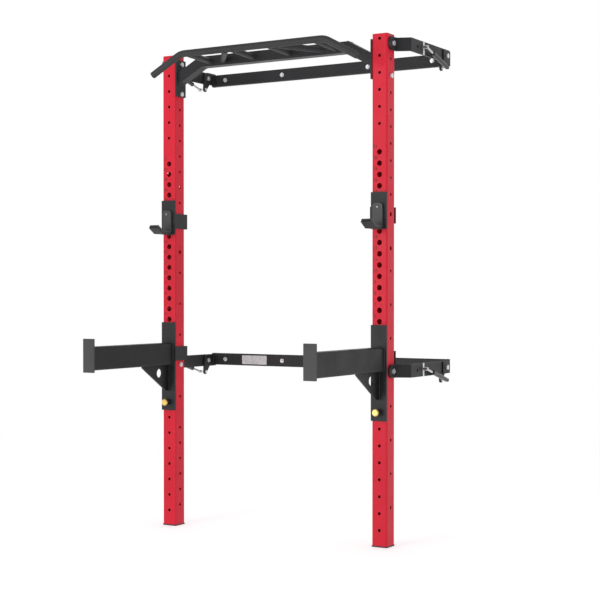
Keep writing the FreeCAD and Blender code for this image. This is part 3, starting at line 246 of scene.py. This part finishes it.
def bright_metal(name, base, dull, rough, scale, metallic=1.0):
    """Plated or machined metal with fine tarnish and scratches."""
    graph = Graph(name)
    tarnish = graph.noise(scale, detail=6.0, roughness=0.65)
    colour = graph.ramp(tarnish, "Fac", dull, base, 0.35, 0.65)
    graph.link(colour, "Color", graph.shader, "Base Color")
    graph.roughness(tarnish, rough + 0.12, rough)
    graph.set(Metallic=metallic)
    scratch = graph.noise(scale=scale * 8, detail=2.0)
    graph.bump(scratch, "Fac", strength=0.15, distance=0.0002, edge_radius=0.0005)
    return graph.material


def moulded(name, base, light, rough, grain, depth):
    """Moulded plastic with a fine spark-eroded grain."""
    graph = Graph(name)
    drift = graph.noise(scale=14.0, detail=4.0, roughness=0.6)
    colour = graph.ramp(drift, "Fac", base, light, 0.35, 0.7)
    graph.link(colour, "Color", graph.shader, "Base Color")
    graph.roughness(drift, rough, rough + 0.12)
    graph.set(Specular_IOR_Level=0.45)
    pits = graph.cells(grain)
    graph.bump(pits, "Distance", strength=depth, distance=0.0002, edge_radius=0.001)
    return graph.material


RED = powder_coat("red_powder", base=(0.66, 0.012, 0.034), deep=(0.58, 0.009, 0.026),
                  worn_and_lit=(0.80, 0.10, 0.12), rough=0.42, grain=900.0, depth=0.12, gloss=0.2)
BLACK = powder_coat("black_powder", base=(0.020, 0.020, 0.022), deep=(0.015, 0.015, 0.017),
                    worn_and_lit=(0.08, 0.08, 0.085), rough=0.46, grain=1100.0, depth=0.28, gloss=0.28)
# A darker copy of the black powder coat for the spotter tubes and gussets: painted shade on their sides.
SHADED_BLACK = powder_coat("shaded_black_powder", base=(0.011, 0.011, 0.012), deep=(0.008, 0.008, 0.009),
                         worn_and_lit=(0.07, 0.07, 0.075), rough=0.42, grain=1100.0, depth=0.2, gloss=0.26)
# A lighter grey copy of the black powder coat for the spotter stops: painted light on their front faces.
LIT_GREY = powder_coat("lit_grey_powder", base=(0.060, 0.060, 0.062), deep=(0.046, 0.046, 0.048),
                   worn_and_lit=(0.13, 0.13, 0.135), rough=0.5, grain=1100.0, depth=0.5, gloss=0.3)
TEXTURED = powder_coat("bar_texture", base=(0.034, 0.034, 0.036), deep=(0.024, 0.024, 0.026),
                       worn_and_lit=(0.10, 0.10, 0.105), rough=0.55, grain=620.0, depth=0.75, gloss=0.35)
ENAMEL = powder_coat("spring_enamel", base=(0.018, 0.018, 0.019), deep=(0.014, 0.014, 0.015),
                     worn_and_lit=(0.06, 0.06, 0.06), rough=0.24, grain=300.0, depth=0.04, gloss=0.6)
NUMBERS = powder_coat("number_ink", base=(0.07, 0.002, 0.004), deep=(0.05, 0.001, 0.003),
                      worn_and_lit=(0.34, 0.02, 0.03), rough=0.5, grain=600.0, depth=0.05)
WELD = powder_coat("weld_bead", base=(0.034, 0.034, 0.036), deep=(0.026, 0.026, 0.028),
                   worn_and_lit=(0.12, 0.12, 0.125), rough=0.42, grain=700.0, depth=0.4)
ZINC = bright_metal("zinc", base=(0.82, 0.82, 0.84), dull=(0.60, 0.60, 0.62), rough=0.28,
                    scale=240.0, metallic=0.75)
DULL_ZINC = bright_metal("dull_zinc", base=(0.30, 0.30, 0.31), dull=(0.20, 0.20, 0.21), rough=0.42,
                         scale=240.0, metallic=0.8)
ROD = bright_metal("polished_rod", base=(0.60, 0.60, 0.62), dull=(0.48, 0.48, 0.50), rough=0.16,
                   scale=120.0)
BRASS = bright_metal("brass", base=(0.90, 0.66, 0.22), dull=(0.74, 0.48, 0.13), rough=0.22,
                     scale=160.0)
PLATE = bright_metal("data_plate", base=(0.66, 0.66, 0.67), dull=(0.50, 0.50, 0.51), rough=0.36,
                     scale=60.0, metallic=0.5)
PLASTIC = moulded("black_plastic", base=(0.020, 0.020, 0.021), light=(0.030, 0.030, 0.031),
                  rough=0.55, grain=1500.0, depth=0.3)
LINER = moulded("liner_plastic", base=(0.030, 0.030, 0.032), light=(0.046, 0.046, 0.048),
                rough=0.40, grain=900.0, depth=0.15)

FINISHES = [
    (RED, ("upright_",)),
    (TEXTURED, ("pullup_front_bar", "pullup_neutral_grips")),
    (SHADED_BLACK, ("spotter_tube", "spotter_gusset")),
    (LIT_GREY, ("spotter_stop",)),
    (PLASTIC, ("foot_caps", "top_caps", "pullup_bar_caps")),
    (LINER, ("holder_liner",)),
    (ZINC, ("wall_bolts", "wall_pivot_bolts", "spring_studs", "pivot_bolts", "end_plate_bolts",
            "stud_plates")),
    (DULL_ZINC, ("holder_screw",)),
    (ROD, ("gas_rod",)),
    (ENAMEL, ("gas_barrel",)),
    (BRASS, ("pull_pin",)),
    (PLATE, ("data_plate",)),
]


def finish_for(name):
    for material, prefixes in FINISHES:
        if name.startswith(prefixes):
            return material
    return BLACK


def paint_frame():
    for name, item in NODES.items():
        item.data.materials.clear()
        item.data.materials.append(finish_for(name))


# ---------------------------------------------------------------- mesh helpers

def across(along):
    """Two unit vectors, square to a direction and to each other."""
    guide = Vector((0, 0, 1)) if abs(along.z) < 0.9 else Vector((1, 0, 0))
    first = along.cross(guide).normalized()
    return first, along.cross(first)


class Shape:
    """Collects vertices and faces of many small solids into one mesh."""

    def __init__(self):
        self.verts = []
        self.faces = []

    def ring(self, centre, along, radius, sides):
        """A circle of vertices round a direction."""
        u, v = across(along)
        for k in range(sides):
            turn = 2 * math.pi * k / sides
            self.verts.append(centre + u * math.cos(turn) * radius + v * math.sin(turn) * radius)

    def wall(self, lower, upper, sides):
        """Faces between two rings, each given by its first vertex."""
        for k in range(sides):
            j = (k + 1) % sides
            self.faces.append((lower + k, lower + j, upper + j, upper + k))

    def cap(self, first, sides):
        """A face that closes a ring."""
        self.faces.append(tuple(range(first, first + sides)))

    def base(self, first, sides):
        """A face that closes a ring and looks the other way."""
        self.faces.append(tuple(reversed(range(first, first + sides))))

    def bead(self, path, radius, closed=False):
        """Weld bead through points, with the ripple of its scales."""
        count = len(path)
        start = len(self.verts)
        for i, point in enumerate(path):
            before = path[(i - 1) % count] if closed or i > 0 else point
            after = path[(i + 1) % count] if closed or i < count - 1 else point
            size = radius * (1 + BEAD_RIPPLE * math.sin(i * RIPPLE_TURN))
            self.ring(point, (after - before).normalized(), size, BEAD_SIDES)
        for i in range(count if closed else count - 1):
            following = (i + 1) % count
            self.wall(start + i * BEAD_SIDES, start + following * BEAD_SIDES, BEAD_SIDES)
        if not closed:
            self.base(start, BEAD_SIDES)
            self.cap(start + (count - 1) * BEAD_SIDES, BEAD_SIDES)

    def dome(self, centre, axis, radius, height, sides=14, rings=4):
        """Low domed head standing on a surface."""
        start = len(self.verts)
        for r in range(rings):
            angle = math.pi / 2 * r / rings
            lift = height * math.sin(angle)
            self.ring(centre + axis * lift, axis, radius * math.cos(angle), sides)
        top = len(self.verts)
        self.verts.append(centre + axis * height)
        for r in range(rings - 1):
            self.wall(start + r * sides, start + (r + 1) * sides, sides)
        last = start + (rings - 1) * sides
        for k in range(sides):
            self.faces.append((last + k, last + (k + 1) % sides, top))
        self.base(start, sides)

    def build(self, name, material, body, smooth=True):
        """Make the piece that the frame's body carries."""
        mesh = bpy.data.meshes.new(name)
        mesh.from_pydata([tuple(v) for v in self.verts], [], self.faces)
        mesh.materials.append(material)
        for face in mesh.polygons:
            face.use_smooth = smooth
        mesh.update()
        item = bpy.data.objects.new(name, mesh)
        bpy.context.scene.collection.objects.link(item)
        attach(item, body)


def line(a, b):
    """Evenly spaced points from a to b."""
    a = Vector(a)
    b = Vector(b)
    count = max(2, int((b - a).length / BEAD_STEP) + 1)
    return [a.lerp(b, i / (count - 1)) for i in range(count)]


def loop(corners):
    """Evenly spaced points round a closed outline."""
    points = []
    for i, corner in enumerate(corners):
        points.extend(line(corner, corners[(i + 1) % len(corners)])[:-1])
    return points


def band(front, back, top, bottom):
    """Closed outline whose upper and lower edges run from front to back."""
    top_x, top_z = top
    bottom_x, bottom_z = bottom
    return loop([(top_x, front, top_z), (top_x, back, top_z),
                 (bottom_x, back, bottom_z), (bottom_x, front, bottom_z)])


def cut_corners(low, high, y, cut):
    """Closed outline of a box across y, with its corners cut off."""
    return loop([(low[0], y, low[2] + cut), (low[0], y, high[2] - cut),
                 (low[0] + cut, y, high[2]), (high[0] - cut, y, high[2]),
                 (high[0], y, high[2] - cut), (high[0], y, low[2] + cut),
                 (high[0] - cut, y, low[2]), (low[0] + cut, y, low[2])])


# ---------------------------------------------------------------- details

def number_mesh(number):
    text = bpy.data.curves.new("number", "FONT")
    text.body = str(number)
    text.size = DIGIT_SIZE
    text.extrude = DIGIT_THICK
    text.align_x = "CENTER"
    return bpy.data.meshes.new_from_object(bpy.data.objects.new("number", text))


def stand_up(shape, mesh, x, y, z):
    """Add a flat mesh to a shape, upright and facing the user."""
    start = len(shape.verts)
    for vert in mesh.vertices:
        shape.verts.append(Vector((x + vert.co.x, y - vert.co.z, z + vert.co.y)))
    for face in mesh.polygons:
        shape.faces.append(tuple(start + i for i in face.vertices))


def number_holes():
    """Plain numbers 1 to 21 beside the large holes, at the upper left of each."""
    for word in SIDES:
        low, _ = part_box("upright_" + word)
        shape = Shape()
        for number in range(1, LARGE_HOLES + 1):
            z = FIRST_HOLE_Z + HOLE_PITCH * (number - 1) + DIGIT_RISE
            stand_up(shape, number_mesh(number), low[0] + DIGIT_IN, low[1] - DIGIT_GAP, z)
        shape.build("hole_numbers_" + word, NUMBERS, "rack_frame", smooth=False)


def rivet_data_plate():
    low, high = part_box("data_plate")
    shape = Shape()
    out = Vector((0, -1, 0))
    for x in (low[0] + RIVET_IN, high[0] - RIVET_IN):
        for z in (low[2] + RIVET_IN, high[2] - RIVET_IN):
            shape.dome(Vector((x, low[1], z)), out, RIVET_RADIUS, RIVET_HEIGHT)
    shape.build("data_plate_rivets", ZINC, "wall_mount")


def bead_beam_end(shape, side):
    """Round the beam's mitred end."""
    low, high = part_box("pullup_beam")
    top = (high[0] * side, high[2])
    bottom = ((high[0] - MITRE_RUN) * side, low[2])
    shape.bead(band(low[1], high[1], top, bottom), BEAM_END_BEAD, closed=True)


def bead_brace_foot(shape, word, side):
    """Round the brace's foot on the end plate."""
    beam_low, beam_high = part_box("pullup_beam")
    low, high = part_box("pullup_brace_" + word)
    x = max(abs(low[0]), abs(high[0])) * side
    outline = band(beam_low[1], beam_high[1], (x, low[2] + BRACE_FOOT), (x, low[2]))
    shape.bead(outline, BRACE_BEAD, closed=True)


def bead_grip(shape, x, stretch):
    """Round a neutral grip where it meets the beam."""
    low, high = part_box("pullup_neutral_grips")
    y = high[1] - GRIP_BITE
    z = low[2] + GRIP_RADIUS
    ring = []
    for k in range(GRIP_RING_POINTS):
        turn = 2 * math.pi * k / GRIP_RING_POINTS
        ring.append(Vector((x + math.cos(turn) * GRIP_RADIUS * stretch, y,
                            z + math.sin(turn) * GRIP_RADIUS)))
    shape.bead(ring, GRIP_BEAD, closed=True)


def weld_pullup():
    """Beads at the beam's mitres, the braces' feet and the neutral grips."""
    shape = Shape()
    for word, side in SIDES.items():
        bead_beam_end(shape, side)
        bead_brace_foot(shape, word, side)
    for x, stretch in GRIP_ENDS:
        for side in SIDES.values():
            bead_grip(shape, x * side, stretch)
    shape.build("pullup_welds", WELD, "rack_frame")


def bead_gusset(shape, word):
    """Along the gusset's top and back edges, on both faces."""
    low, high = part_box("spotter_gusset_" + word)
    for x in (low[0], high[0]):
        shape.bead(line((x, low[1], high[2]), (x, high[1], high[2])), GUSSET_BEAD)
        shape.bead(line((x, high[1], low[2]), (x, high[1], high[2])), GUSSET_BEAD)


def weld_spotters():
    """Beads round both ends of each spotter's tube, and along its gusset."""
    for word in SIDES:
        shape = Shape()
        low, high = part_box("spotter_tube_" + word)
        for y, radius in ((high[1], SPOTTER_PLATE_BEAD), (low[1], SPOTTER_STOP_BEAD)):
            shape.bead(cut_corners(low, high, y, SPOTTER_CORNER), radius, closed=True)
        bead_gusset(shape, word)
        shape.build("spotter_welds_" + word, WELD, "spotter_arm_" + word)


def weld_holders():
    """Beads under each cradle and a little way up its sides."""
    for word in SIDES:
        shape = Shape()
        low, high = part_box("holder_cradle_" + word)
        y = high[1]
        for x in (low[0], high[0]):
            shape.bead(line((x, y, low[2]), (x, y, low[2] + CRADLE_SIDE_RUN)), CRADLE_BEAD)
        shape.bead(line((low[0], y, low[2]), (high[0], y, low[2])), CRADLE_BEAD)
        shape.build("holder_welds_" + word, WELD, "bar_holder_" + word)


def bead_stringer_end(shape, x, low, high):
    """Along the upper and lower edges of a stringer's end, and down its front."""
    for z in (low[2] + STRINGER_EDGE_IN, high[2] - STRINGER_EDGE_IN):
        shape.bead(line((x, low[1] + STRINGER_EDGE_SHORT, z), (x, high[1] - STRINGER_EDGE_SHORT, z)),
                   STRINGER_EDGE_BEAD)
    shape.bead(line((x, low[1], low[2] + STRINGER_END_SHORT), (x, low[1], high[2] - STRINGER_END_SHORT)),
               STRINGER_END_BEAD)


def weld_stringers():
    shape = Shape()
    for level in ("upper", "lower"):
        low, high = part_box("stringer_" + level)
        for x in (low[0], high[0]):
            bead_stringer_end(shape, x, low, high)
    shape.build("stringer_welds", WELD, "wall_mount")


# ---------------------------------------------------------------- studio

def floor_material():
    """Takes shadows near the rack and fades to plain white further out."""
    graph = Graph("studio_floor")
    distance = graph.add("ShaderNodeVectorMath", operation="LENGTH")
    graph.link(graph.where, "Object", distance, 0)
    span = graph.remap(distance, "Value", FLOOR_SHADE_START, FLOOR_SHADE_END)
    colour = graph.ramp(span, "Result", FLOOR_COLOUR, NOTHING)
    glow = graph.ramp(span, "Result", FLOOR_GLOW, WHITE)
    graph.link(colour, "Color", graph.shader, "Base Color")
    graph.link(glow, "Color", graph.shader, "Emission Color")
    graph.set(Roughness=0.9, Specular_IOR_Level=0.0, Emission_Strength=1.0)
    return graph.material


def add_floor():
    z = CAD_BOX[0][2] - FLOOR_DROP
    mesh = bpy.data.meshes.new("floor")
    mesh.from_pydata([(-FLOOR_REACH, -FLOOR_REACH, z), (FLOOR_REACH, -FLOOR_REACH, z),
                      (FLOOR_REACH, FLOOR_REACH, z), (-FLOOR_REACH, FLOOR_REACH, z)],
                     [], [(0, 1, 2, 3)])
    mesh.materials.append(floor_material())
    floor = bpy.data.objects.new("floor", mesh)
    bpy.context.scene.collection.objects.link(floor)


def add_world():
    """White behind the rack and along the horizon, a little dimmer elsewhere."""
    world = bpy.data.worlds.new("studio")
    world.use_nodes = True
    sky = Tree(world.node_tree)
    facing = sky.add("ShaderNodeVectorMath", operation="DOT_PRODUCT")
    facing.inputs[1].default_value = BRIGHT_WAY
    sky.link(sky.where, "Generated", facing, 0)
    shade = sky.ramp(facing, "Value", DIM_SKY, WHITE, 0.35, 0.8)
    split = sky.add("ShaderNodeSeparateXYZ")
    sky.link(sky.where, "Generated", split, 0)
    height = sky.add("ShaderNodeMath", operation="ABSOLUTE")
    sky.link(split, "Z", height, 0)
    haze = sky.remap(height, "Value", 0.0, HAZE_HEIGHT, 1.0, 0.0, interpolation_type="SMOOTHSTEP")
    colour = sky.fade(haze, "Result", shade, WHITE)
    sky.link(colour, 2, world.node_tree.nodes["Background"], "Color")
    bpy.context.scene.world = world


def add_softbox(name, spot, target, size, power):
    light = bpy.data.lights.new(name, "AREA")
    light.shape = "RECTANGLE"
    light.size, light.size_y = size
    light.energy = power
    item = bpy.data.objects.new(name, light)
    item.location = spot
    aim = Vector(target) - Vector(spot)
    item.rotation_euler = aim.to_track_quat("-Z", "Y").to_euler()
    bpy.context.scene.collection.objects.link(item)


def add_lights():
    add_softbox("key", spot=(-1.7, -6.7, 0.3), target=(0.1, -0.5, -0.4), size=(3.0, 3.5), power=120)
    add_softbox("top", spot=(0.5, -2.5, 4.5), target=(0, -0.4, 0), size=(4.0, 3.0), power=25)
    add_softbox("edge", spot=(4.5, 2.0, 1.5), target=(0.3, -0.4, -0.2), size=(1.5, 3.0), power=12)


def add_camera():
    """At chest height, in front of the rack and to its right."""
    camera = bpy.data.cameras.new("view")
    camera.sensor_width = 36.0
    camera.lens = 83.376
    camera.shift_y = 0.01073
    camera.clip_end = 200.0
    item = bpy.data.objects.new("view", camera)
    item.location = (3.4124, -5.9886, FLOOR_Z + 1.1287)
    item.rotation_euler = (math.radians(90 - 0.574), 0.0, math.radians(30.768))
    bpy.context.scene.collection.objects.link(item)
    bpy.context.scene.camera = item


paint_frame()
number_holes()
rivet_data_plate()
weld_pullup()
weld_spotters()
weld_holders()
weld_stringers()
add_floor()
add_world()
add_lights()
add_camera()
bpy.context.scene.view_settings.view_transform = "Standard"
